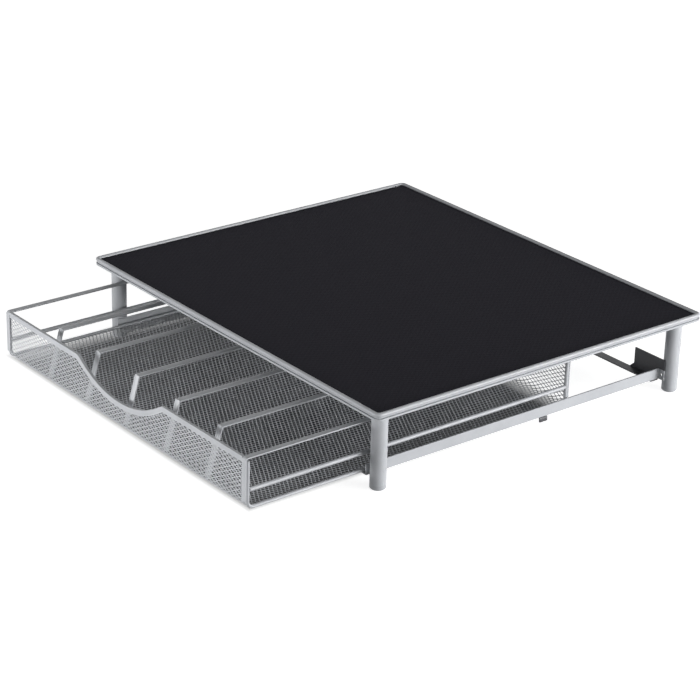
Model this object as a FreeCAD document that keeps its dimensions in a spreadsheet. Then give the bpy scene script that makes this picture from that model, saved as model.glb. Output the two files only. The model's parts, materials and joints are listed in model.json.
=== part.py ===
import FreeCAD, Part
import math
import os
import Sketcher

# Drawer stand: a wire-rimmed platform on four legs with a mesh drawer on two side rails.
# X is the width, -Y the side the drawer comes out of, Z up from the table. Sizes in millimetres.

DIMENSIONS = [
    ("top_height", 71.3, "table to the top of the rim wire"),
    ("rim_width", 386.4, "rim wire, centre line to centre line along X"),
    ("rim_depth", 341.4, "rim wire, centre line to centre line along Y"),
    ("rim_corner", 3.6, "corner radius of the rim wire's centre line"),
    ("rim_wire", 3.6, "diameter of the top rim wire"),
    ("lower_band", 1.6, "width and height of the band under the panel's edge"),
    ("band_reach", 1.5, "outer face of the band beyond the rim wire's centre line"),
    ("panel_sheet", 1.2, "thickness of the top panel"),
    ("mat_thickness", 2.1, "thickness of the mat"),
    ("mat_gap", 0.9, "gap between the mat and the rim wire"),
    ("mat_corner", 1.5, "corner radius of the mat"),
    ("mat_bevel", 0.4, "bevel of the mat's upper edge"),
    ("leg_diameter", 13.0, "outside diameter of a leg tube"),
    ("leg_wall", 1.0, "wall of a leg tube"),
    ("leg_span_x", 358.0, "leg axis to leg axis along X"),
    ("leg_span_y", 314.0, "leg axis to leg axis along Y"),
    ("foot_height", 4.0, "visible height of a foot cap"),
    ("foot_bevel", 0.8, "bevel of a foot cap's lower edge"),
    ("plug_depth", 8.0, "how far a foot cap's plug goes into the tube"),
    ("plug_gap", 0.05, "clearance of a plug in its tube, all round"),
    ("rail_sheet", 1.2, "thickness of the rails, brace, cross strip and stops"),
    ("rail_base", 9.7, "underside of the rails' lower flange"),
    ("rail_height", 9.0, "height of a rail's web"),
    ("rail_flange", 12.5, "width of a rail's lower flange over the web"),
    ("rail_bend", 1.2, "inner bend radius of the rails and the brace"),
    ("rail_tab", 6.5, "reach of a rail's rear tab beyond its web"),
    ("rail_hole", 2.4, "hole in a rail's rear tab"),
    ("flange_setback", 4.0, "flange ends short of the rear tab"),
    ("strip_width", 8.0, "width of the centre brace and the rear cross strip"),
    ("brace_y", 20.0, "centre brace behind the middle of the stand"),
    ("brace_drop", 3.5, "turned-down ends of the centre brace"),
    ("stop_top", 28.0, "upper edge of the stop plates"),
    ("stop_width", 35.0, "width of a stop plate"),
    ("stop_neck", 14.0, "height at which a stop plate widens towards the strip"),
    ("stop_flare", 6.0, "how far a stop plate widens there"),
    ("piece_gap", 0.2, "gap between sheet pieces that pass each other"),
    ("pull_out", 100.0, "how far the drawer is pulled out at rest"),
    ("drawer_front", 174.5, "front of the closed drawer ahead of the stand's middle"),
    ("drawer_depth", 323.5, "drawer, front face to back face"),
    ("drawer_width", 340.0, "drawer, over its side wires"),
    ("drawer_top", 54.0, "top of the drawer's hems and strips"),
    ("side_wire", 3.0, "diameter of a drawer side wire"),
    ("runner_low", 11.2, "underside of the drawer's side wires"),
    ("drawer_bend", 5.0, "bend radius of side wires and mesh at the middle of the stock"),
    ("mid_rod", 3.5, "diameter of a mid rod"),
    ("mid_rod_height", 27.5, "height of the mid rods"),
    ("flat_width", 5.0, "width of the flat side strips"),
    ("flat_inset", 0.5, "side strips inside the drawer's overall width, each side"),
    ("flat_sheet", 1.0, "thickness of the side strips and dividers"),
    ("flat_bend", 1.5, "inner bend radius of the side strips"),
    ("flat_low", 18.0, "lower end of a side strip's legs"),
    ("mesh_sheet", 0.8, "thickness of the mesh"),
    ("hem_height", 4.5, "height of a folded hem"),
    ("hem_wall", 0.8, "thickness of the hem's stock"),
    ("scoop_half", 59.5, "half width of the finger scoop at rim height"),
    ("scoop_vertex", 38.6, "depth at which the scoop's two flanks would meet"),
    ("scoop_radius", 100.0, "radius of the scoop's floor"),
    ("scoop_shoulder", 9.0, "radius of the scoop's upper corners"),
    ("divider_count", 5.0, "number of dividers"),
    ("divider_pitch", 56.0, "divider to divider"),
    ("divider_width", 6.0, "width of a divider"),
    ("divider_crease", 0.6, "height of the crease along a divider"),
    ("divider_knee", 17.7, "knee of a divider behind the drawer's front face"),
    ("divider_foot", 6.2, "foot of a divider behind the drawer's front face"),
    ("wall_columns", 12.0, "mesh diamonds side by side in a wall"),
    ("wall_rows", 2.0, "mesh diamonds one above the other in a wall"),
    ("floor_columns", 5.0, "mesh diamonds side by side in the floor"),
    ("floor_rows", 9.0, "mesh diamonds one behind the other in the floor"),
    ("strand", 2.0, "width of the strands between the diamonds"),
    ("mesh_border", 3.0, "plain border of the mesh"),
]

doc = FreeCAD.newDocument("drawer_stand")
sheet = doc.addObject("Spreadsheet::Sheet", "dims")
for row, (alias, number, meaning) in enumerate(DIMENSIONS, start=1):
    sheet.set("A%d" % row, meaning)
    sheet.set("B%d" % row, str(number))
    sheet.setAlias("B%d" % row, alias)
doc.recompute()

# Places worked out from the driving dimensions, as expressions on the sheet.
STAND_Y = "(dims.drawer_front + dims.pull_out - (dims.rim_depth + dims.rim_wire) / 2) / 2"
DRAWER_Y = "(%s - dims.pull_out - dims.drawer_front + dims.drawer_depth / 2)" % STAND_Y
PANEL_TOP = "(dims.top_height - dims.rim_wire)"
PANEL_UNDER = "(%s - dims.panel_sheet)" % PANEL_TOP
LEG_INNER = "(dims.leg_span_x / 2 - dims.leg_diameter / 2)"
LEG_FRONT = "(dims.leg_span_y / 2 + dims.leg_diameter / 2)"
LEG_BACK = "(dims.leg_span_y / 2 - dims.leg_diameter / 2)"
RAIL_TOP = "(dims.rail_base + dims.rail_height)"
HALF_DEPTH = "(dims.drawer_depth / 2)"
WIRE_X = "(dims.drawer_width / 2 - dims.side_wire / 2)"
WIRE_Y = "(%s - dims.flat_sheet - dims.side_wire / 2)" % HALF_DEPTH
WIRE_Z = "(dims.runner_low + dims.side_wire / 2)"
POST_TOP = "(dims.drawer_top - dims.flat_sheet - dims.flat_bend - dims.piece_gap)"
FLAT_OUTER = "(dims.drawer_width / 2 - dims.flat_inset)"
MESH_Y = "(%s - dims.flat_sheet - dims.mesh_sheet / 2)" % HALF_DEPTH
HEM_END = "(%s - dims.flat_width)" % FLAT_OUTER
FLANK = "sqrt(dims.scoop_half ^ 2 + dims.scoop_vertex ^ 2)"

SIDES = {"left": -1, "right": 1}
ENDS = {"front": -1, "rear": 1}

parts = []


def value(expression):
    """Number that an expression on the sheet gives now."""
    return float(sheet.evalExpression(expression))


def place(item, x, y, z):
    """Bind an object's position to three expressions."""
    for axis, expression in zip("xyz", (x, y, z)):
        item.setExpression("Placement.Base." + axis, expression)


def new_body(label, x="0", y=STAND_Y, z="0"):
    """Start a sub-part: a body with its own label and a placement bound to the sheet."""
    body = doc.addObject("PartDesign::Body", label)
    body.Label = label
    place(body, x, y, z)
    parts.append(body)
    return body


def new_sketch(body, role, name, offset="0"):
    """Sketch on one of the body's own planes, moved along the plane's normal by an expression."""
    sketch = body.newObject("Sketcher::SketchObject", "%s_%s" % (body.Label, name))
    plane = next(f for f in body.Origin.OriginFeatures if f.Role == role)
    sketch.AttachmentSupport = [(plane, "")]
    sketch.MapMode = "FlatFace"
    sketch.setExpression("AttachmentOffset.Base.z", offset)
    return sketch


def bind(sketch, kind, *arguments):
    """Add one dimension to a sketch and tie it to its expression, the last argument."""
    expression = arguments[-1]
    number = value(expression)
    index = sketch.addConstraint(Sketcher.Constraint(kind, *arguments[:-1], number))
    sketch.setExpression("Constraints[%d]" % index, expression)


def pin_point(sketch, geometry, position, u, v):
    """Fix a point of a sketch at two expressions."""
    bind(sketch, "DistanceX", -1, 1, geometry, position, u)
    bind(sketch, "DistanceY", -1, 1, geometry, position, v)


def corner_arc(before, corner, after, radius):
    """Tangent arc at a corner: its entry, exit, centre and whether it turns left."""
    incoming = (corner - before).normalize()
    outgoing = (after - corner).normalize()
    turn = incoming.getAngle(outgoing)
    reach = radius * math.tan(turn / 2)
    left = incoming.x * outgoing.y - incoming.y * outgoing.x > 0
    entry = corner - incoming * reach
    leave = corner + outgoing * reach
    side = 1 if left else -1
    centre = entry + FreeCAD.Vector(-incoming.y, incoming.x, 0) * radius * side
    return entry, leave, centre, left


def draw_path(sketch, corners, closed=True):
    """Lines through the corners (u, v[, radius]); a corner with a radius gets a tangent arc."""
    count = len(corners)
    spots = [FreeCAD.Vector(value(c[0]), value(c[1]), 0) for c in corners]
    arcs = {}
    for i, corner in enumerate(corners):
        if len(corner) > 2:
            radius = value(corner[2])
            arcs[i] = corner_arc(spots[i - 1], spots[i], spots[(i + 1) % count], radius)
    lines = []
    for i in range(count if closed else count - 1):
        k = (i + 1) % count
        start = arcs[i][1] if i in arcs else spots[i]
        stop = arcs[k][0] if k in arcs else spots[k]
        lines.append(sketch.addGeometry(Part.LineSegment(start, stop)))
    for i, corner in enumerate(corners):
        if not closed and i in (0, count - 1):
            at_start = i == 0
            pin_point(sketch, lines[0 if at_start else -1], 1 if at_start else 2, *corner[:2])
            continue
        before, after = lines[i - 1], lines[i]
        if i not in arcs:
            sketch.addConstraint(Sketcher.Constraint("Coincident", before, 2, after, 1))
            pin_point(sketch, after, 1, *corner[:2])
            continue
        entry, leave, centre, left = arcs[i]
        circle = Part.Circle(centre, FreeCAD.Vector(0, 0, 1), (entry - centre).Length)
        first, last = (entry, leave) if left else (leave, entry)
        arc = sketch.addGeometry(Part.ArcOfCircle(circle, circle.parameter(first),
                                                  circle.parameter(last)))
        point = sketch.addGeometry(Part.Point(spots[i]), True)
        near, far = (1, 2) if left else (2, 1)
        sketch.addConstraint([
            Sketcher.Constraint("Tangent", before, 2, arc, near),
            Sketcher.Constraint("Tangent", arc, far, after, 1),
            Sketcher.Constraint("PointOnObject", point, 1, before),
            Sketcher.Constraint("PointOnObject", point, 1, after),
        ])
        pin_point(sketch, point, 1, *corner[:2])
        bind(sketch, "Radius", arc, corner[2])


def draw_circle(sketch, u, v, diameter):
    """Circle with its centre and diameter tied to expressions."""
    centre = FreeCAD.Vector(value(u), value(v), 0)
    circle = Part.Circle(centre, FreeCAD.Vector(0, 0, 1), value(diameter) / 2)
    index = sketch.addGeometry(circle)
    pin_point(sketch, index, 3, u, v)
    bind(sketch, "Diameter", index, diameter)


def rounded_rectangle(half_x, half_y, radius):
    """Corners of a rounded rectangle about the sketch's origin."""
    signs = [(1, 1), (-1, 1), (-1, -1), (1, -1)]
    return [("%d * %s" % (i, half_x), "%d * %s" % (k, half_y), radius) for i, k in signs]


def pad(body, sketch, length, both_ways=False):
    """Extrude a sketch along its normal, or half the length to each side of it."""
    feature = body.newObject("PartDesign::Pad", sketch.Name + "_pad")
    feature.Profile = sketch
    feature.setExpression("Length", length)
    feature.Midplane = both_ways
    doc.recompute()
    return feature


def pocket(body, sketch, length):
    """Cut a sketch half the length to each side of it, and make sure that it cuts."""
    before = body.Shape.Volume
    feature = body.newObject("PartDesign::Pocket", sketch.Name + "_pocket")
    feature.Profile = sketch
    feature.setExpression("Length", length)
    feature.Midplane = True
    doc.recompute()
    if body.Shape.Volume >= before:
        raise RuntimeError(body.Label + ": a pocket removed nothing")
    return feature


def sweep(body, profile, spine):
    """Sweep a profile sketch along a path sketch, with a mitre where the path has a corner."""
    feature = body.newObject("PartDesign::AdditivePipe", body.Label + "_pipe")
    feature.Profile = profile
    feature.Spine = spine
    feature.Transition = "Right corner"
    doc.recompute()
    return feature


def bent_wire(label, corners, diameter, origin, bend="0", closed=False):
    """Wire whose legs run along the axes: a cylinder for each leg, a quarter torus for each bend."""
    count = len(corners)
    spots = [FreeCAD.Vector(*[value(c) for c in corner]) for corner in corners]
    legs = range(count) if closed else range(count - 1)
    ways = {i: (spots[(i + 1) % count] - spots[i]).normalize() for i in legs}
    stock = []
    for i, way in ways.items():
        first_bend = bend if closed or i > 0 else "0"
        last_bend = bend if closed or i < count - 2 else "0"
        axis = max(range(3), key=lambda k: abs(way[k]))
        sign = round(way[axis])
        start, stop = list(corners[i]), corners[(i + 1) % count]
        run = doc.addObject("Part::Cylinder", label + "_run")
        run.setExpression("Radius", "%s / 2" % diameter)
        run.setExpression("Height", "%d * ((%s) - (%s)) - %s - %s" % (
            sign, stop[axis], start[axis], first_bend, last_bend))
        start[axis] = "(%s) + %d * %s" % (start[axis], sign, first_bend)
        run.Placement.Rotation = FreeCAD.Rotation(FreeCAD.Vector(0, 0, 1), way)
        place(run, *start)
        stock.append(run)
    for i in range(0 if closed else 1, count if closed else count - 1):
        before, after = ways[(i - 1) % count], ways[i]
        elbow = doc.addObject("Part::Torus", label + "_bend")
        elbow.setExpression("Radius1", bend)
        elbow.setExpression("Radius2", "%s / 2" % diameter)
        elbow.Angle3 = 90
        elbow.Placement.Rotation = FreeCAD.Rotation(after * -1, before, before.cross(after), "XYZ")
        inward = after - before
        place(elbow, *["(%s) + %d * %s" % (corners[i][k], round(inward[k]), bend) for k in range(3)])
        stock.append(elbow)
    wire = stock[0]
    if len(stock) > 1:
        wire = doc.addObject("Part::MultiFuse", label)
        wire.Shapes = stock
        place(wire, *origin)
    wire.Label = label
    parts.append(wire)


def top_rim_wire():
    """Closed wire loop on the platform's outline."""
    half_x, half_y = "dims.rim_width / 2", "dims.rim_depth / 2"
    corners = [("%d * %s" % (i, half_x), "%d * %s" % (k, half_y), "0")
               for i, k in ((1, 1), (-1, 1), (-1, -1), (1, -1))]
    bent_wire("top_rim_wire", corners, "dims.rim_wire",
              ("0", STAND_Y, "dims.top_height - dims.rim_wire / 2"), "dims.rim_corner", closed=True)


def lower_rim_band():
    """Thin square band under the panel, along the same outline as the rim wire."""
    body = new_body("lower_rim_band", z="%s - dims.lower_band" % PANEL_UNDER)
    for name, step in (("outline", "dims.band_reach"), ("inner", "(dims.band_reach - dims.lower_band)")):
        edge = new_sketch(body, "XY_Plane", name)
        draw_path(edge, rounded_rectangle("(dims.rim_width / 2 + %s)" % step,
                                          "(dims.rim_depth / 2 + %s)" % step,
                                          "dims.rim_corner + %s" % step))
        if name == "outline":
            pad(body, edge, "dims.lower_band")
        else:
            pocket(body, edge, "4 * dims.lower_band")


def top_panel():
    body = new_body("top_panel", z=PANEL_UNDER)
    outline = new_sketch(body, "XY_Plane", "outline")
    corners = rounded_rectangle("(dims.rim_width / 2)", "(dims.rim_depth / 2)", "dims.rim_corner")
    draw_path(outline, corners)
    pad(body, outline, "dims.panel_sheet")


def top_mat():
    """Mat that lies on the panel inside the rim wire."""
    body = new_body("top_mat", z=PANEL_TOP)
    inset = "(dims.rim_wire / 2 + dims.mat_gap)"
    outline = new_sketch(body, "XY_Plane", "outline")
    draw_path(outline, rounded_rectangle("(dims.rim_width / 2 - %s)" % inset,
                                         "(dims.rim_depth / 2 - %s)" % inset, "dims.mat_corner"))
    slab = pad(body, outline, "dims.mat_thickness")
    highest = max(range(len(slab.Shape.Faces)), key=lambda i: slab.Shape.Faces[i].CenterOfMass.z)
    edge = body.newObject("PartDesign::Chamfer", "top_mat_edge")
    edge.Base = (slab, ["Face%d" % (highest + 1)])
    edge.setExpression("Size", "dims.mat_bevel")


def leg(label, x, y):
    """Tube from the foot cap up to the panel."""
    body = new_body(label, x, y, "dims.foot_height")
    section = new_sketch(body, "XY_Plane", "section")
    draw_circle(section, "0", "0", "dims.leg_diameter")
    draw_circle(section, "0", "0", "dims.leg_diameter - 2 * dims.leg_wall")
    pad(body, section, "%s - dims.foot_height" % PANEL_UNDER)


def foot_cap(label, x, y):
    """Turned cap: a bevelled disc under the tube and a plug inside it."""
    body = new_body(label, x, y)
    outer = "dims.leg_diameter / 2"
    plug = "(dims.leg_diameter / 2 - dims.leg_wall - dims.plug_gap)"
    top = "dims.foot_height + dims.plug_depth"
    section = new_sketch(body, "XZ_Plane", "section")
    draw_path(section, [
        ("0", "0"), (outer + " - dims.foot_bevel", "0"), (outer, "dims.foot_bevel"),
        (outer, "dims.foot_height"),
        (plug, "dims.foot_height"), (plug, top), ("0", top),
    ])
    turned = body.newObject("PartDesign::Revolution", label + "_turned")
    turned.Profile = section
    turned.ReferenceAxis = (section, ["V_Axis"])
    turned.Angle = 360
    return body


def side_rail(label, side):
    """L-shaped rail: a web between the legs, a flange under the drawer, a tab on the rear leg."""
    body = new_body(label, z="dims.rail_base")
    outer = "%d * %s" % (side, LEG_INNER)
    inner = "%d * (%s - dims.rail_sheet)" % (side, LEG_INNER)
    tab = "%d * (%s + dims.rail_tab)" % (side, LEG_INNER)
    lip = "%d * (%s - dims.rail_flange)" % (side, LEG_INNER)
    wide = "dims.rail_bend + dims.rail_sheet"
    front = "-1 * %s" % LEG_FRONT
    tab_rear = LEG_BACK
    tab_front = "%s - dims.rail_sheet" % LEG_BACK
    web = new_sketch(body, "XY_Plane", "web")
    draw_path(web, [
        (inner, front), (inner, tab_rear, wide), (tab, tab_rear), (tab, tab_front),
        (outer, tab_front, "dims.rail_bend"), (outer, front),
    ])
    pad(body, web, "dims.rail_height")
    flange = new_sketch(body, "XY_Plane", "flange")
    rear = "%s - dims.flange_setback" % tab_front
    draw_path(flange, [(lip, front), (outer, front), (outer, rear), (lip, rear)])
    pad(body, flange, "dims.rail_sheet")
    hole = new_sketch(body, "XZ_Plane", "hole", "-1 * (%s - dims.rail_sheet / 2)" % LEG_BACK)
    middle = "%d * (%s + dims.rail_tab / 2)" % (side, LEG_INNER)
    draw_circle(hole, middle, "dims.rail_height / 2", "dims.rail_hole")
    pocket(body, hole, "4 * dims.rail_sheet")


def centre_brace():
    """Strip under both rails with turned-down ends."""
    body = new_body("centre_brace", z="dims.rail_base")
    outer = LEG_INNER
    inner = "(%s - dims.rail_sheet)" % LEG_INNER
    low = "-1 * (dims.rail_sheet + dims.brace_drop)"
    under = "-1 * dims.rail_sheet"
    wide = "dims.rail_bend + dims.rail_sheet"
    section = new_sketch(body, "XZ_Plane", "section", "-1 * dims.brace_y")
    draw_path(section, [
        (outer, low), (outer, "0", wide), ("-1 * " + outer, "0", wide), ("-1 * " + outer, low),
        ("-1 * " + inner, low), ("-1 * " + inner, under, "dims.rail_bend"),
        (inner, under, "dims.rail_bend"), (inner, low),
    ])
    pad(body, section, "dims.strip_width", both_ways=True)


def rear_cross_strip():
    """Flat strip under the rear ends of both rails."""
    body = new_body("rear_cross_strip", z="dims.rail_base - dims.rail_sheet")
    rear = "(%s - dims.rail_sheet)" % LEG_BACK
    front = "(%s - dims.strip_width)" % rear
    outline = new_sketch(body, "XY_Plane", "outline")
    draw_path(outline, [(LEG_INNER, rear), ("-1 * " + LEG_INNER, rear),
                        ("-1 * " + LEG_INNER, front), (LEG_INNER, front)])
    pad(body, outline, "dims.rail_sheet")


def rear_stop(label, side):
    """Upright plate between the cross strip and a rear leg; the closed drawer meets it."""
    body = new_body(label)
    low = "dims.rail_base - dims.rail_sheet"
    web = "%d * (%s - dims.rail_sheet - dims.piece_gap)" % (side, LEG_INNER)
    outer = "%d * (%s + dims.rail_tab)" % (side, LEG_INNER)
    inner = "%d * (%s + dims.rail_tab - dims.stop_width)" % (side, LEG_INNER)
    flare = "%d * (%s + dims.rail_tab - dims.stop_width - dims.stop_flare)" % (side, LEG_INNER)
    step = "%s + dims.piece_gap" % RAIL_TOP
    outline = new_sketch(body, "XZ_Plane", "outline", "-1 * (%s - dims.rail_sheet / 2)" % LEG_BACK)
    draw_path(outline, [
        (outer, "dims.stop_top"), (inner, "dims.stop_top"), (inner, "dims.stop_neck"),
        (flare, low), (web, low), (web, step), (outer, step),
    ])
    pad(body, outline, "dims.rail_sheet", both_ways=True)


def side_wire(label, side):
    """One wire: front post, bottom run on the rail's flange, rear post."""
    front, rear = "-1 * " + WIRE_Y, WIRE_Y
    corners = [("0", front, POST_TOP), ("0", front, WIRE_Z), ("0", rear, WIRE_Z),
               ("0", rear, POST_TOP)]
    bent_wire(label, corners, "dims.side_wire", ("%d * %s" % (side, WIRE_X), DRAWER_Y, "0"),
              "dims.drawer_bend")


def side_strip(label, side):
    """Flat strip along the top of an open side, bent down both corners."""
    body = new_body(label, x="%d * (%s - dims.flat_width / 2)" % (side, FLAT_OUTER), y=DRAWER_Y)
    outer = HALF_DEPTH
    inner = "(%s - dims.flat_sheet)" % HALF_DEPTH
    under = "dims.drawer_top - dims.flat_sheet"
    wide = "dims.flat_bend + dims.flat_sheet"
    section = new_sketch(body, "YZ_Plane", "section")
    draw_path(section, [
        ("-1 * " + outer, "dims.flat_low"), ("-1 * " + inner, "dims.flat_low"),
        ("-1 * " + inner, under, "dims.flat_bend"), (inner, under, "dims.flat_bend"),
        (inner, "dims.flat_low"), (outer, "dims.flat_low"),
        (outer, "dims.drawer_top", wide), ("-1 * " + outer, "dims.drawer_top", wide),
    ])
    pad(body, section, "dims.flat_width", both_ways=True)


def mid_rod(label, side):
    """Rod half way up an open side, welded between the two posts."""
    x = "%d * %s" % (side, WIRE_X)
    reach = "(%s - dims.side_wire / 2)" % WIRE_Y
    ends = [(x, "%s + %d * %s" % (DRAWER_Y, end, reach), "dims.mid_rod_height") for end in (-1, 1)]
    bent_wire(label, ends, "dims.mid_rod", ("0", "0", "0"))


def rim_corners(drop):
    """Left shoulder, floor and right shoulder of the scoop, drop below the rim and square to it."""
    shoulder = "(dims.scoop_half + (%s) * (%s - dims.scoop_half) / dims.scoop_vertex)" % (drop, FLANK)
    top = "dims.drawer_top - (%s)" % drop
    floor = "dims.drawer_top - dims.scoop_vertex - (%s) * %s / dims.scoop_half" % (drop, FLANK)
    bend = "dims.scoop_shoulder - (%s)" % drop
    return [("-1 * " + shoulder, top, bend), ("0", floor, "dims.scoop_radius + (%s)" % drop),
            (shoulder, top, bend)]


def band(upper, lower, corners=lambda drop: []):
    """Outline of a strip along the front or back rim between two drops below it."""
    ends = [("-1 * " + HEM_END, HEM_END), (HEM_END, "-1 * " + HEM_END)]
    outline = []
    for drop, (start, stop) in zip((upper, lower), ends):
        middle = corners(drop) if drop == upper else corners(drop)[::-1]
        height = "dims.drawer_top - (%s)" % drop
        outline += [(start, height)] + middle + [(stop, height)]
    return outline


def hem(label, middle, corners=lambda drop: []):
    """Strip folded over the edge of a mesh wall: a band with a slot that opens downwards."""
    body = new_body(label, y=DRAWER_Y)
    folded = new_sketch(body, "XZ_Plane", "outline", middle)
    draw_path(folded, band("0", "dims.hem_height", corners))
    pad(body, folded, "dims.mesh_sheet + 2 * dims.hem_wall", both_ways=True)
    slot = new_sketch(body, "XZ_Plane", "slot", middle)
    draw_path(slot, band("dims.hem_wall", "dims.hem_height + dims.hem_wall", corners))
    pocket(body, slot, "dims.mesh_sheet")


def divider(label, place):
    """Creased strip: a top run between two knees and a slanting leg to the floor at each end."""
    x = "dims.divider_pitch * (%d - (dims.divider_count + 1) / 2)" % place
    body = new_body(label, x=x, y=DRAWER_Y)
    edge = "dims.divider_width / 2"
    level = "(dims.drawer_top - dims.divider_crease)"
    knee = "-1 * (%s - dims.divider_knee)" % HALF_DEPTH
    foot = "-1 * (%s - dims.divider_foot)" % HALF_DEPTH
    floor = "%s + dims.mesh_sheet / 2 + dims.flat_sheet * 0.28" % WIRE_Z
    spine = new_sketch(body, "YZ_Plane", "path")
    draw_path(spine, [("0", level), (knee, level), (foot, floor)], closed=False)
    section = new_sketch(body, "XZ_Plane", "section")
    draw_path(section, [
        ("-1 * " + edge, "%s - dims.flat_sheet" % level), ("0", "dims.drawer_top - dims.flat_sheet"),
        (edge, "%s - dims.flat_sheet" % level), (edge, level), ("0", "dims.drawer_top"),
        ("-1 * " + edge, level),
    ])
    half = sweep(body, section, spine)
    whole = body.newObject("PartDesign::Mirrored", label + "_mirrored")
    whole.Originals = [half]
    whole.MirrorPlane = (next(f for f in body.Origin.OriginFeatures if f.Role == "XZ_Plane"), [""])
    body.Tip = whole


def rounded_wire(corners):
    """Closed wire in the XY plane through (x, y, radius) corners, each arc tangent to its sides."""
    count = len(corners)
    spots = [FreeCAD.Vector(x, y, 0) for x, y, _ in corners]
    edges = []
    start = None
    for i in range(count + 1):
        spot, radius = spots[i % count], corners[i % count][2]
        if radius:
            entry, leave, centre, _ = corner_arc(spots[(i - 1) % count], spot,
                                                 spots[(i + 1) % count], radius)
            middle = centre + (spot - centre).normalize() * radius
        else:
            entry = leave = spot
        if start is not None:
            edges.append(Part.LineSegment(start, entry).toShape())
        if radius and i < count:
            edges.append(Part.Arc(entry, middle, leave).toShape())
        start = leave
    return Part.Wire(Part.__sortEdges__(edges))


def diamond_net(outline, low, high, columns, rows, inside=lambda u, v: True):
    """Sheet face with staggered diamond gaps from low to high, and half diamonds along the edges."""
    pitch_u, pitch_v = (high[0] - low[0]) / columns, (high[1] - low[1]) / rows
    strand = value("dims.strand")
    half_u = pitch_u / 2 - strand * math.hypot(pitch_u, pitch_v) / (2 * pitch_v)
    half_v = half_u * pitch_v / pitch_u
    slack = strand / 100
    gaps = []
    for row in range(int(2 * rows) + 1):
        for column in range(row % 2, int(2 * columns) + 1, 2):
            u, v = low[0] + column * pitch_u / 2, low[1] + row * pitch_v / 2
            tips = [(u + half_u, v), (u, v + half_v), (u - half_u, v), (u, v - half_v)]
            tips = [(p, q) for p, q in tips if low[0] - slack < p < high[0] + slack
                    and low[1] - slack < q < high[1] + slack and inside(p, q)]
            if len(tips) > 2:
                spots = [FreeCAD.Vector(*tip, 0) for tip in tips]
                gaps.append(Part.makePolygon(spots + spots[:1]))
    print("mesh gaps:", len(gaps))
    return Part.Face([outline] + gaps, "Part::FaceMakerBullseye")


def net_bend(half_x, side):
    """Quarter round that joins a mesh wall to the floor, extruded along X."""
    bend, sheet_half = value("dims.drawer_bend"), value("dims.mesh_sheet") / 2
    centre = FreeCAD.Vector(-half_x, side * (value(MESH_Y) - bend), value(WIRE_Z) + bend)
    wires = []
    for radius in (bend - sheet_half, bend + sheet_half):
        spots = [FreeCAD.Vector(0, side * radius * math.sin(a), -radius * math.cos(a)) + centre
                 for a in (0, math.pi / 4, math.pi / 2)]
        wires.append(spots)
    inner, outer = wires
    edges = [Part.Arc(*inner).toShape(), Part.LineSegment(inner[2], outer[2]).toShape(),
             Part.Arc(*outer[::-1]).toShape(), Part.LineSegment(outer[0], inner[0]).toShape()]
    return Part.Face(Part.Wire(edges)).extrude(FreeCAD.Vector(2 * half_x, 0, 0))


def scoop_height(x, drop):
    """Height of the front wall's edge at x, drawn down by drop square to the rim."""
    top, half = value("dims.drawer_top"), value("dims.scoop_half")
    slope = math.atan(value("dims.scoop_vertex") / half)
    radius = value("dims.scoop_radius")
    lowest = top - value("dims.scoop_vertex") + radius * (1 / math.cos(slope) - 1)
    if abs(x) < radius * math.sin(slope):
        return lowest + radius - math.sqrt((radius + drop) ** 2 - x * x)
    flank = top - (half - abs(x)) * math.tan(slope) - drop / math.cos(slope)
    return min(top - drop, flank)


def mesh_wall(label, side, top_corners, inside=lambda x, z: True):
    """Upright mesh wall with its bend; inside tells where a gap's tips may be."""
    half_x = value(WIRE_X) - value("dims.side_wire") / 2
    sheet_thickness = value("dims.mesh_sheet")
    low = value(WIRE_Z) + value("dims.drawer_bend")
    high = value("dims.drawer_top - dims.hem_height - dims.strand / 2")
    border = value("dims.mesh_border")
    outline = rounded_wire([(half_x, low, 0)] + top_corners + [(-half_x, low, 0)])
    flat = diamond_net(outline, (border - half_x, low + border / 2), (half_x - border, high),
                       value("dims.wall_columns"), value("dims.wall_rows"), inside)
    wall = flat.extrude(FreeCAD.Vector(0, 0, sheet_thickness))
    wall.rotate(FreeCAD.Vector(), FreeCAD.Vector(1, 0, 0), 90)
    wall.translate(FreeCAD.Vector(0, side * value(MESH_Y) + sheet_thickness / 2, 0))
    add_feature(label, wall.fuse(net_bend(half_x, side)).removeSplitter())


def add_feature(label, shape):
    """Sub-part of the drawer whose shape is already made."""
    feature = doc.addObject("Part::Feature", label)
    feature.Label = label
    feature.Shape = shape
    feature.setExpression("Placement.Base.y", DRAWER_Y)
    parts.append(feature)


def shoulder_corners():
    """Right end of a wall's upper edge: a notch behind the side strip, then up into the hem."""
    half_x = value(WIRE_X) - value("dims.side_wire") / 2
    notch, inner = value(POST_TOP), value(HEM_END)
    return [(half_x, notch, 0), (inner, notch, 0), (inner, value("dims.drawer_top - dims.hem_wall"), 0)]


def mirrored(corners):
    """The same corners on the left, in walking order."""
    return [(-x, z, radius) for x, z, radius in reversed(corners)]


def front_mesh():
    """Front wall: its upper edge follows the hem's fold through the scoop."""
    scoop = [tuple(value(number) for number in corner) for corner in rim_corners("dims.hem_wall")]
    right = shoulder_corners()
    covered = value("dims.hem_height + dims.strand / 2")
    mesh_wall("drawer_front_mesh", -1, right + scoop[::-1] + mirrored(right),
              lambda x, z: z < scoop_height(x, covered))


def back_mesh():
    """Back wall, straight along the top."""
    right = shoulder_corners()
    mesh_wall("drawer_back_mesh", 1, right + mirrored(right))


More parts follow.
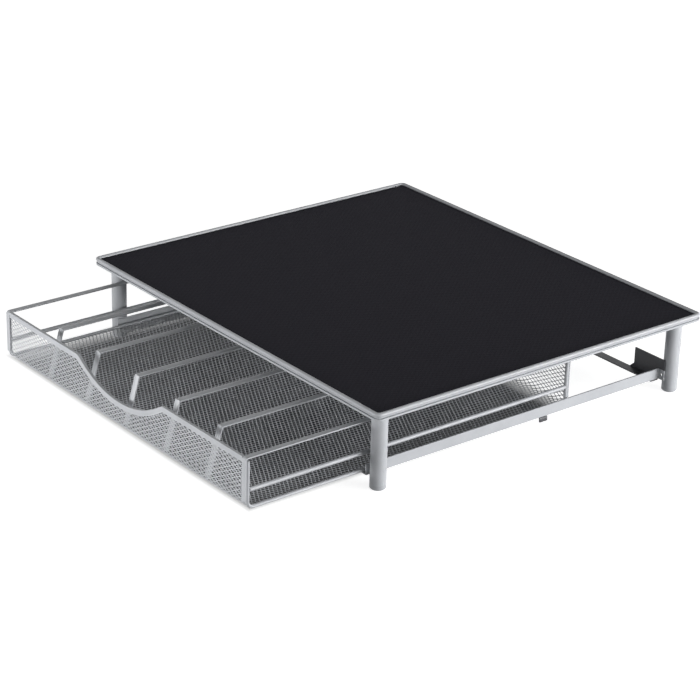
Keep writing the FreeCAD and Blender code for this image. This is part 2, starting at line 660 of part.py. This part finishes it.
def floor_mesh():
    """Flat floor between the two bends."""
    half_x = value(WIRE_X) - value("dims.side_wire") / 2
    half_y = value(MESH_Y) - value("dims.drawer_bend")
    border = value("dims.mesh_border")
    corners = [(half_x, -half_y, 0), (half_x, half_y, 0), (-half_x, half_y, 0), (-half_x, -half_y, 0)]
    flat = diamond_net(rounded_wire(corners), (border - half_x, border - half_y),
                       (half_x - border, half_y - border), value("dims.floor_columns"),
                       value("dims.floor_rows"))
    slab = flat.extrude(FreeCAD.Vector(0, 0, value("dims.mesh_sheet")))
    slab.translate(FreeCAD.Vector(0, 0, value("%s - dims.mesh_sheet / 2" % WIRE_Z)))
    add_feature("drawer_floor_mesh", slab)


def group(label, members):
    """One sub-part of several alike solids, in place of its members."""
    compound = doc.addObject("Part::Compound", label)
    compound.Label = label
    compound.Links = members
    for member in members:
        parts.remove(member)
    parts.append(compound)


def check_model():
    """Stop on any object that failed and on any sub-part without a sound shape."""
    doc.recompute()
    for item in doc.Objects:
        if "Invalid" in item.State or "Error" in item.State:
            raise RuntimeError("%s failed: %s" % (item.Label, item.State))
    for part in parts:
        if part.Shape.isNull() or not part.Shape.isValid() or not part.Shape.Solids:
            raise RuntimeError(part.Label + " has no valid solid")


top_rim_wire()
lower_rim_band()
top_panel()
top_mat()
caps = []
for end_name, end in ENDS.items():
    for side_name, side in SIDES.items():
        leg_x = "%d * dims.leg_span_x / 2" % side
        leg_y = "%s + %d * dims.leg_span_y / 2" % (STAND_Y, end)
        leg("leg_%s_%s" % (end_name, side_name), leg_x, leg_y)
        caps.append(foot_cap("foot_cap_%s_%s" % (end_name, side_name), leg_x, leg_y))
group("foot_caps", caps)
for side_name, side in SIDES.items():
    side_rail("rail_" + side_name, side)
    rear_stop("rear_stop_" + side_name, side)
centre_brace()
rear_cross_strip()
for side_name, side in SIDES.items():
    side_wire("side_wire_" + side_name, side)
    side_strip("side_strip_" + side_name, side)
    mid_rod("mid_rod_" + side_name, side)
front_mesh()
floor_mesh()
back_mesh()
hem("front_hem", MESH_Y, rim_corners)
hem("back_hem", "-1 * " + MESH_Y)
for number in range(1, int(value("dims.divider_count")) + 1):
    divider("divider_%d" % number, number)
check_model()

os.makedirs("parts", exist_ok=True)
for part in parts:
    part.Shape.exportStep("parts/%s.step" % part.Label)
    print("%-18s volume %9.1f" % (part.Label, part.Shape.Volume))
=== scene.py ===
import json
import math
import bpy
import numpy as np
from mathutils import Matrix, Vector
from mathutils.bvhtree import BVHTree


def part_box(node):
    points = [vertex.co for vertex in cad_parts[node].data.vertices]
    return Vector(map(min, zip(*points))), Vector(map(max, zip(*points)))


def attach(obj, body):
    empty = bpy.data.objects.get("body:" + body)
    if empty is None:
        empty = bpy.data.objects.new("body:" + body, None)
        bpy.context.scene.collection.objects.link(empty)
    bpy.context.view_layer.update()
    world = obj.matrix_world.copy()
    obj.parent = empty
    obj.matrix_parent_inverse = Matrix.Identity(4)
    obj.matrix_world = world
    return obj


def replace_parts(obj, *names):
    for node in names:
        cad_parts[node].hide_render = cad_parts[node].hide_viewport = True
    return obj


# Drawer stand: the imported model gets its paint, mat and foot materials, and the drawer's mesh sheet is
# replaced by fine expanded metal. Metres; X is the width, -Y the way the drawer pulls out, Z up.

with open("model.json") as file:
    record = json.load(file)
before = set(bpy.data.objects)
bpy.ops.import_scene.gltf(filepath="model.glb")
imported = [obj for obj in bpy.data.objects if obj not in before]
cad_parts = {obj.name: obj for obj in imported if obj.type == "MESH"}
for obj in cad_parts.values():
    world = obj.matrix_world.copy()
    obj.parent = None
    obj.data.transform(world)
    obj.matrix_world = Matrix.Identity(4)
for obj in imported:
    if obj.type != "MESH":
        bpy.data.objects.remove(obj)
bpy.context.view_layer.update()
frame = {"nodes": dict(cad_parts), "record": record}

# Camera; its lens and sensor in millimetres
CAMERA_PLACE = Vector((1.4015, -1.1239, 0.8090))
CAMERA_AZIMUTH = math.radians(51.085)
CAMERA_ELEVATION = math.radians(23.612)
CAMERA_ROLL = math.radians(1.679)
CAMERA_LENS = 120.24
CAMERA_SENSOR = 36.0
CAMERA_NEAREST = 0.05

# Expanded metal: diamonds long in X, strands tilted from the sheet's plane
DIAMOND_LONG = 0.0064
DIAMOND_SHORT = 0.0035
BOND_LENGTH = 0.0010
BOND_OVERLAP = 0.00003
STRAND_WIDTH = 0.00062
STRAND_THICKNESS = 0.00050
STRAND_TILT = math.radians(18)
# Depth of the strands' ends below a hem's upper edge, and below the sheet's top beside the hems
HEM_COVER = 0.0022
STRIP_COVER = 0.0030

# Rounding of the bent sheet pieces' edges, by the first words of the node's name
EDGE_ROUNDING = {"rail": 0.0006, "side_strip": 0.0003, "divider": 0.0003}
ROUNDED_FROM = math.radians(50)
ROUNDING_STEPS = 2

# Paint: dark and light shade of its faint clouds, and its flake; noise cells per metre
STEEL_SHADES = ((0.360, 0.372, 0.392), (0.410, 0.422, 0.443))
STEEL_FLAKE = (0.55, 0.56, 0.58)
# Darker copy of the same paint for the cross members under the stand: painted shade for the deep shade
# that falls on them there
PAINTED_SHADE_TONES = ((0.045, 0.046, 0.051), (0.060, 0.061, 0.067))
PAINTED_SHADE_FLAKE = (0.11, 0.11, 0.12)
PAINTED_SHADE_NODES = ("centre_brace", "rear_cross_strip", "rear_stop_left", "rear_stop_right")
FLAKE_SHARE = 0.30
PAINT_ROUGHNESS = (0.36, 0.46)
CLOUD_SCALE = 45.0
SHEEN_SCALE = 140.0
PEEL_SCALE = 900.0
PEEL_HEIGHT = 0.00006
FLAKE_SCALE = 5200.0

# Mat: pebbled grain over a shallow tread of diamonds
MAT_SHADES = ((0.0080, 0.0076, 0.0112), (0.0195, 0.0186, 0.0258))
MAT_TREAD = (0.034, 0.033, 0.041)
MAT_ROUGHNESS = (0.70, 0.85)
PEBBLE_SCALE = 1500.0
PEBBLE_HEIGHT = 0.00035
TREAD_X = 0.0044
TREAD_Y = 0.00575
TREAD_SHARE = 0.24
TREAD_HEIGHT = 0.00010

# Foot caps: moulded grain
FOOT_SHADES = ((0.355, 0.367, 0.387), (0.405, 0.417, 0.437))
FOOT_ROUGHNESS = (0.42, 0.55)
FOOT_CLOUD_SCALE = 90.0
FOOT_GRAIN_SCALE = 2600.0
FOOT_GRAIN_HEIGHT = 0.00008

# World: light on the object from the horizon and from above
HORIZON_LIGHT = 0.22
ZENITH_LIGHT = 0.05

# Floor, and the painted core shadow under the drawer, a darker floor colour without glow. At the floor
# mesh's low and high corner: how far the shade's edges lie from the corner in X and Y, and half the
# length over which they fade.
FLOOR_SIZE = 24.0
FLOOR_GLOW = 0.84
FLOOR_COLOUR = 0.60
SHADE_COLOUR = 0.14
SHADE_EDGES = (((-0.019, 0.011), (0.015, 0.005)),
               ((-0.016, 0.017), (0.005, 0.013)))

# Rectangular lamps: name, place, aim, width and height, watts, and whether gloss shows them
LAMPS = (
    ("side", (1.68, 0.92, 0.25), (0, 0, 0.05), (1.5, 0.4), 49.0, True),
    ("front", (-0.16, -0.92, 0.13), (0, -0.2, 0.035), (0.50, 0.20), 6.0, True),
    ("back", (-1.44, 1.16, 0.28), (0, 0, 0.05), (1.2, 0.4), 14.0, False),
    ("top", (0.1, 0.3, 1.9), (0, 0, 0), (1.4, 1.4), 1.5, True),
)

MATERIALS = {}


def make_camera():
    """Camera at the photograph's viewing angle."""
    az, el, roll = CAMERA_AZIMUTH, CAMERA_ELEVATION, CAMERA_ROLL
    back = Vector((math.sin(az) * math.cos(el), -math.cos(az) * math.cos(el), math.sin(el)))
    level = Vector((math.cos(az), math.sin(az), 0.0))
    above = back.cross(level)
    right = math.cos(roll) * level + math.sin(roll) * above
    up = math.cos(roll) * above - math.sin(roll) * level
    data = bpy.data.cameras.new("camera")
    data.sensor_width = CAMERA_SENSOR
    data.lens = CAMERA_LENS
    data.clip_start = CAMERA_NEAREST
    camera = bpy.data.objects.new("camera", data)
    turn = Matrix((right, up, back)).transposed().to_4x4()
    camera.matrix_world = Matrix.Translation(CAMERA_PLACE) @ turn
    bpy.context.scene.collection.objects.link(camera)
    bpy.context.scene.camera = camera


class Tree:
    """Node tree of a material or the world, with short calls for the nodes that it needs."""

    def __init__(self, owner):
        owner.use_nodes = True
        self.nodes = owner.node_tree.nodes
        self.links = owner.node_tree.links

    def put(self, socket, value):
        """Link a socket's value to an input, or set the input to a number, vector or colour."""
        if isinstance(value, bpy.types.NodeSocket):
            self.links.new(value, socket)
        else:
            socket.default_value = value

    def set(self, node, **inputs):
        for name, value in inputs.items():
            self.put(node.inputs[name.replace("_", " ")], value)
        return node

    def add(self, kind, **inputs):
        return self.set(self.nodes.new("ShaderNode" + kind), **inputs)

    def calculate(self, kind, operation, *values):
        """Result of a Math or VectorMath node."""
        node = self.add(kind)
        node.operation = operation
        for socket, value in zip(node.inputs, values):
            self.put(socket, value)
        return node.outputs[0]

    def spread(self, factor, low, high, start=0.3, stop=0.7):
        """Map the range from start to stop, by default the middle of a noise, to low to high."""
        return self.add("MapRange", Value=factor, From_Min=start, From_Max=stop, To_Min=low,
                        To_Max=high).outputs["Result"]

    def seen(self):
        """1 for rays from the camera, gloss or glass, 0 for rays that light the object."""
        rays = self.add("LightPath").outputs
        mirrored = self.calculate("Math", "MAXIMUM", rays["Is Camera Ray"], rays["Is Glossy Ray"])
        return self.calculate("Math", "MAXIMUM", mirrored, rays["Is Transmission Ray"])


class Shader(Tree):
    """Material of the object, from noise and patterns in object coordinates."""

    def __init__(self, name):
        MATERIALS[name] = bpy.data.materials.new(name)
        super().__init__(MATERIALS[name])
        self.place = self.add("TexCoord").outputs["Object"]

    def noise(self, scale, detail=2.0, roughness=0.5):
        return self.add("TexNoise", Vector=self.place, Scale=scale, Detail=detail,
                        Roughness=roughness).outputs["Fac"]

    def wave(self, coordinate, length):
        """Cosine of a coordinate, one wave per length."""
        turns = self.calculate("Math", "MULTIPLY", coordinate, 2 * math.pi / length)
        return self.calculate("Math", "COSINE", turns)

    def diamonds(self, length_x, length_y):
        """Centred lattice in the XY plane, from -1 to 1."""
        parts = self.add("SeparateXYZ", Vector=self.place).outputs
        return self.calculate("Math", "MULTIPLY", self.wave(parts["X"], length_x),
                              self.wave(parts["Y"], length_y))

    def mix(self, factor, first, second):
        """Mix two colours by a factor."""
        node = self.add("Mix")
        node.data_type = "RGBA"
        self.set(node, Factor=factor)
        for socket, colour in ((node.inputs[6], first), (node.inputs[7], second)):
            self.put(socket, (*colour, 1.0) if isinstance(colour, tuple) else colour)
        return node.outputs[2]

    def bump(self, height, distance, strength, under=None):
        """Normal with a relief, on top of another relief's normal if there is one."""
        node = self.add("Bump", Height=height, Distance=distance, Strength=strength)
        if under:
            self.set(node, Normal=under)
        return node.outputs["Normal"]

    def finish(self, **inputs):
        self.set(self.nodes["Principled BSDF"], **inputs)


def steel_paint(name, shades, flake):
    """Satin paint: fine flake, a soft orange peel and faint clouds of shade."""
    s = Shader(name)
    clouds = s.mix(s.spread(s.noise(CLOUD_SCALE, 3.0), 0.0, 1.0), *shades)
    specks = s.spread(s.noise(FLAKE_SCALE, 1.0), 0.0, 1.0, 0.35, 0.65)
    colour = s.mix(s.spread(specks, 0.0, FLAKE_SHARE, 0.0, 1.0), clouds, flake)
    s.finish(Base_Color=colour, Metallic=0.03, Specular_IOR_Level=0.28,
             Roughness=s.spread(s.noise(SHEEN_SCALE), *PAINT_ROUGHNESS),
             Normal=s.bump(s.noise(PEEL_SCALE), PEEL_HEIGHT, 0.5))


def mat_rubber():
    """Black mat with a fine pebbled surface."""
    s = Shader("mat_rubber")
    grain = s.noise(PEBBLE_SCALE, 2.0, 0.6)
    tread = s.diamonds(TREAD_X, TREAD_Y)
    shade = s.mix(s.spread(grain, 0.0, 1.0), *MAT_SHADES)
    colour = s.mix(s.spread(tread, 0.0, TREAD_SHARE, -1.0, 1.0), shade, MAT_TREAD)
    pebble = s.bump(grain, PEBBLE_HEIGHT, 0.8)
    s.finish(Base_Color=colour, Specular_IOR_Level=0.06, Roughness=s.spread(grain, *MAT_ROUGHNESS),
             Normal=s.bump(tread, TREAD_HEIGHT, 0.5, pebble))


def foot_plastic():
    """Moulded grey plastic."""
    s = Shader("foot_plastic")
    grain = s.noise(FOOT_GRAIN_SCALE)
    colour = s.mix(s.spread(s.noise(FOOT_CLOUD_SCALE), 0.0, 1.0), *FOOT_SHADES)
    s.finish(Base_Color=colour, Roughness=s.spread(grain, *FOOT_ROUGHNESS),
             Normal=s.bump(grain, FOOT_GRAIN_HEIGHT, 0.5))


def paint_nodes():
    """Give every CAD node the material of its slot in the record; the cross members under the stand get
    a darker copy of the paint, a painted shade.
    """
    for row in frame["record"]["subparts"]:
        node = frame["nodes"][row["node"]]
        # The cross members under the stand take the darker paint: painted shade
        name = "painted_shade_paint" if row["node"] in PAINTED_SHADE_NODES else row["material_slot"]
        node.data.materials.clear()
        node.data.materials.append(MATERIALS[name])


def soften_edges():
    """Small rounding on the edges of the bent sheet pieces."""
    for name, node in frame["nodes"].items():
        width = EDGE_ROUNDING.get(name.rpartition("_")[0])
        if width:
            bevel = node.modifiers.new("edges", "BEVEL")
            bevel.width = width
            bevel.segments = ROUNDING_STEPS
            bevel.limit_method = "ANGLE"
            bevel.angle_limit = ROUNDED_FROM
            bevel.harden_normals = True


class MeshSheet:
    """The drawer's bent sheet: down the front wall, round a bend, along the floor and up the back."""

    def __init__(self):
        front_low, front_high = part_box("drawer_front_mesh")
        floor_low, floor_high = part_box("drawer_floor_mesh")
        back_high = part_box("drawer_back_mesh")[1]
        half_sheet = (floor_high.z - floor_low.z) / 2
        self.half_width = floor_high.x
        self.front = front_low.y + half_sheet
        self.back = back_high.y - half_sheet
        self.floor = floor_low.z + half_sheet
        self.bend = floor_low.y - self.front
        self.top = front_high.z
        arc = self.bend * math.pi / 2
        wall = self.top - self.floor - self.bend
        flat = self.back - self.front - 2 * self.bend
        self.stations = np.cumsum([0.0, wall, arc, flat, arc, wall])

    def place(self, s):
        """Y and Z at the length s along the sheet, and the direction across its thickness."""
        a, b, c, d, _ = self.stations[1:]
        first = np.clip((s - a) / (b - a), 0, 1) * math.pi / 2
        second = np.clip((s - c) / (d - c), 0, 1) * math.pi / 2
        turn = first + second
        y = self.front + self.bend * (1 - np.cos(first)) + np.clip(s - b, 0, c - b) \
            + self.bend * np.sin(second)
        z = self.top - np.clip(s, 0, a) - self.bend * np.sin(first) \
            + self.bend * (1 - np.cos(second)) + np.clip(s - d, 0, None)
        return y, z, -np.cos(turn), -np.sin(turn)


def strand_ends(sheet, node, y, spots):
    """Height at each X where the strands end under a hem, or beside its ends under the side strip."""
    mesh = frame["nodes"][node].data
    tree = BVHTree.FromPolygons([v.co for v in mesh.vertices],
                                [tuple(p.vertices) for p in mesh.polygons])
    heights = []
    for x in spots:
        hit = tree.ray_cast(Vector((x, y, 2 * sheet.top)), Vector((0, 0, -1)))[0]
        heights.append(hit.z - HEM_COVER if hit else sheet.top - STRIP_COVER)
    return np.array(heights)


def expanded_metal(sheet):
    """Zigzag strands, row after row; neighbours meet along short bonds and leave diamonds between.

    Every strand is tilted, so that both strands of a bond lie in one slanting plane. Lengths along the
    sheet end in s, and lengths across its thickness in n.
    """
    count = round(2 * sheet.half_width / (DIAMOND_LONG / 2))
    bonds = np.linspace(-sheet.half_width, sheet.half_width, count + 1)
    x = (bonds[:, None] + np.array([-BOND_LENGTH, BOND_LENGTH]) / 2).ravel()[1:-1]
    x[0], x[-1] = bonds[0], bonds[-1]
    side = np.repeat(np.arange(count + 1), 2)[1:-1]
    rows = np.arange(DIAMOND_SHORT / 4, sheet.stations[-1], DIAMOND_SHORT / 2)
    sign = np.where((side[None, :] + np.arange(len(rows))[:, None]) % 2, 1.0, -1.0)
    cos, sin = math.cos(STRAND_TILT), math.sin(STRAND_TILT)
    width_s, width_n = STRAND_WIDTH / 2 * cos, STRAND_WIDTH / 2 * sin
    thick_s, thick_n = -STRAND_THICKNESS / 2 * sin, STRAND_THICKNESS / 2 * cos
    middle_s = rows[:, None] + (DIAMOND_SHORT / 4 - width_s + BOND_OVERLAP) * sign
    middle_n = -width_n * sign

    front_ends = strand_ends(sheet, "front_hem", sheet.front, x)
    back_ends = strand_ends(sheet, "back_hem", sheet.back, x)
    first_bend, second_bend = sheet.stations[2], sheet.stations[3]
    halfway = (first_bend + second_bend) / 2
    keep = sheet.place(middle_s)[1] < np.where(middle_s < halfway, front_ends, back_ends)

    corners = []
    for i, k in ((-1, -1), (1, -1), (1, 1), (-1, 1)):
        y, z, across_y, across_z = sheet.place(middle_s + i * width_s + k * thick_s)
        out = middle_n + i * width_n + k * thick_n
        corner = np.broadcast_to(x, out.shape), y + across_y * out, z + across_z * out
        corners.append(np.stack(corner, -1))
    points = np.stack(corners, 2)

    groups = (
        ("mesh_front", "drawer_front_mesh", rows < first_bend),
        ("mesh_floor_front", "drawer_floor_mesh", (rows >= first_bend) & (rows < halfway)),
        ("mesh_floor_rear", "drawer_floor_mesh", (rows >= halfway) & (rows < second_bend)),
        ("mesh_back", "drawer_back_mesh", rows >= second_bend),
    )
    for name, node, chosen in groups:
        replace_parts(strand_piece(name, points[chosen], keep[chosen]), node)


def strand_piece(name, points, keep):
    """One mesh of all strands in some rows; points are (rows, stations, 4 corners, 3)."""
    rows, stations = keep.shape
    index = np.arange(rows * stations * 4).reshape(rows, stations, 4)
    joined = keep[:, :-1] & keep[:, 1:]
    faces = []
    for k in range(4):
        n = (k + 1) % 4
        quad = np.stack([index[:, :-1, k], index[:, :-1, n], index[:, 1:, n], index[:, 1:, k]], -1)
        faces.append(quad[joined])
    outside = np.zeros((rows, 1), bool)
    after, before = np.hstack([joined, outside]), np.hstack([outside, joined])
    faces.append(index[after & ~before][:, ::-1])
    faces.append(index[before & ~after])
    used, faces = np.unique(np.concatenate(faces), return_inverse=True)
    mesh = bpy.data.meshes.new(name)
    mesh.from_pydata(points.reshape(-1, 3)[used].tolist(), [], faces.reshape(-1, 4).tolist())
    mesh.update()
    mesh.materials.append(MATERIALS["painted_steel"])
    piece = bpy.data.objects.new(name, mesh)
    bpy.context.scene.collection.objects.link(piece)
    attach(piece, "drawer")
    return piece


def outside_drawer(tree):
    """From -1 to 1 across the edge of the painted core shadow, a rectangle that slides with the drawer.
    """
    drawer = tree.add("TexCoord")
    drawer.object = bpy.data.objects["mesh_floor_front"]
    beyond = []
    for corner, (shift, soft), sign in zip(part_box("drawer_floor_mesh"), SHADE_EDGES, (-1, 1)):
        slope = (sign / soft[0], sign / soft[1], 0.0)
        start = (-(corner.x + shift[0]) * slope[0], -(corner.y + shift[1]) * slope[1], 0.0)
        beyond.append(tree.calculate("VectorMath", "MULTIPLY_ADD", drawer.outputs["Object"],
                                     slope, start))
    furthest = tree.calculate("VectorMath", "MAXIMUM", *beyond)
    parts = tree.add("SeparateXYZ", Vector=furthest).outputs
    return tree.calculate("Math", "MAXIMUM", parts["X"], parts["Y"])


def floor_material():
    """White floor that keeps the object's shadow; under the drawer a painted shadow, a darker colour
    with no glow.
    """
    material = bpy.data.materials.new("floor")
    tree = Tree(material)
    tree.nodes.remove(tree.nodes["Principled BSDF"])
    beyond = outside_drawer(tree)
    lit = tree.add("BsdfDiffuse", Color=tree.spread(beyond, SHADE_COLOUR, FLOOR_COLOUR, -1.0, 1.0))
    level = tree.spread(beyond, 0.0, FLOOR_GLOW, -1.0, 1.0)
    glow = tree.add("Emission", Strength=tree.calculate("Math", "MULTIPLY", tree.seen(), level))
    both = tree.add("AddShader")
    for socket, shader in zip(both.inputs, (lit, glow)):
        tree.put(socket, shader.outputs[0])
    tree.set(tree.nodes["Material Output"], Surface=both.outputs[0])
    return material


def lay_floor():
    """Pale floor, wide enough for every view."""
    half = FLOOR_SIZE / 2
    mesh = bpy.data.meshes.new("floor")
    mesh.from_pydata([(-half, -half, 0), (half, -half, 0), (half, half, 0), (-half, half, 0)], [],
                     [(0, 1, 2, 3)])
    mesh.materials.append(floor_material())
    floor = bpy.data.objects.new("floor", mesh)
    bpy.context.scene.collection.objects.link(floor)


def surround():
    """World that is white where it is seen, and lights the object softly."""
    world = bpy.data.worlds.new("surround")
    bpy.context.scene.world = world
    tree = Tree(world)
    way = tree.add("SeparateXYZ", Vector=tree.add("TexCoord").outputs["Generated"])
    sky = tree.spread(way.outputs["Z"], HORIZON_LIGHT, ZENITH_LIGHT, 0.0, 1.0)
    tree.set(tree.nodes["Background"], Color=(1.0, 1.0, 1.0, 1.0),
             Strength=tree.spread(tree.seen(), sky, 1.0, 0.0, 1.0))


def hang_lamps():
    """Soft lamps round the object, which the camera doesn't see."""
    for name, place, aim, size, power, mirrored in LAMPS:
        data = bpy.data.lights.new(name, "AREA")
        data.shape = "RECTANGLE"
        data.size, data.size_y = size
        data.energy = power
        lamp = bpy.data.objects.new(name, data)
        lamp.location = place
        lamp.rotation_euler = (Vector(aim) - Vector(place)).to_track_quat("-Z", "Y").to_euler()
        lamp.visible_camera = False
        lamp.visible_glossy = mirrored
        bpy.context.scene.collection.objects.link(lamp)


bpy.context.scene.view_settings.view_transform = "Standard"
make_camera()
steel_paint("painted_steel", STEEL_SHADES, STEEL_FLAKE)
# Darker copy of the paint for the cross members under the stand: painted shade
steel_paint("painted_shade_paint", PAINTED_SHADE_TONES, PAINTED_SHADE_FLAKE)
mat_rubber()
foot_plastic()
paint_nodes()
soften_edges()
expanded_metal(MeshSheet())
lay_floor()
surround()
hang_lamps()
